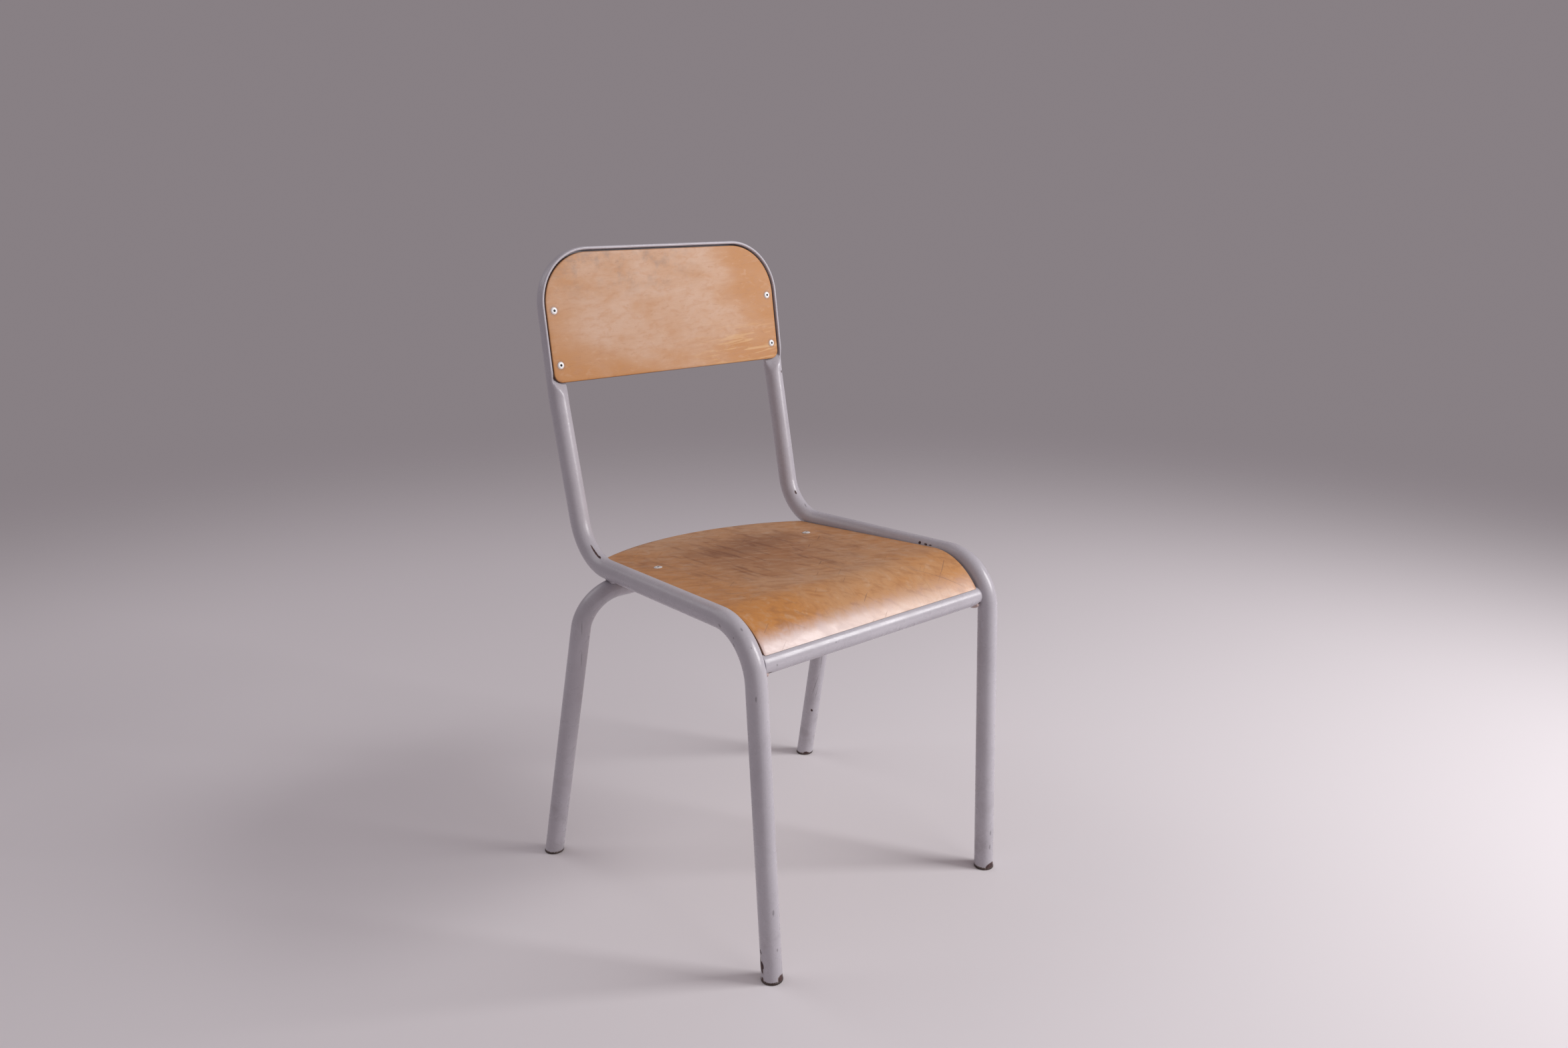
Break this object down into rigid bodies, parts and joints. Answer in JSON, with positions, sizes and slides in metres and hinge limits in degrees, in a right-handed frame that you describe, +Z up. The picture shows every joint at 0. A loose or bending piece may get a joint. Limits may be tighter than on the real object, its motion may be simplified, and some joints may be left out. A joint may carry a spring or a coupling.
{
  "type": "chair",
  "caption": "Worn school chair: chipped grey bent-tube frame, moulded plywood seat with a rolled front edge and a riveted plywood back.",
  "frame": {"origin": "on the floor, below the centre of the chair's bounding box", "axes": "+Z up, +Y towards the back of the chair, +X to the right seen from the front"},
  "size_m": [0.4882, 0.4792, 0.8097],
  "materials": {
    "painted_tube": "semi-gloss grey paint, chipped and scratched",
    "weld": "painted weld bead, rough",
    "seat_plywood": "worn satin varnish on rotary veneer",
    "back_plywood": "satin varnish on rotary veneer",
    "bright_rivet": "bright blind rivet",
    "worn_rivet": "worn blind rivet",
    "foot_glide": "dark worn plastic"
  },
  "bodies": {
    "root": {"main_frame": "painted_tube", "rear_leg_frame": "painted_tube", "front_cross_bar": "painted_tube", "seat_panel": "seat_plywood", "back_panel": "back_plywood", "seat_bracket_left": "painted_tube", "seat_bracket_right": "painted_tube", "bar_weld_left": "weld", "bar_weld_right": "weld", "rail_weld_left": "weld", "rail_weld_right": "weld", "seat_rivet_left": "worn_rivet", "seat_rivet_right": "worn_rivet", "back_rivet_lower_left": "bright_rivet", "back_rivet_lower_right": "bright_rivet", "back_rivet_upper_left": "bright_rivet", "back_rivet_upper_right": "bright_rivet", "foot_glide_front_left": "foot_glide", "foot_glide_front_right": "foot_glide", "foot_glide_rear_left": "foot_glide", "foot_glide_rear_right": "foot_glide"}
  },
  "joints": []
}
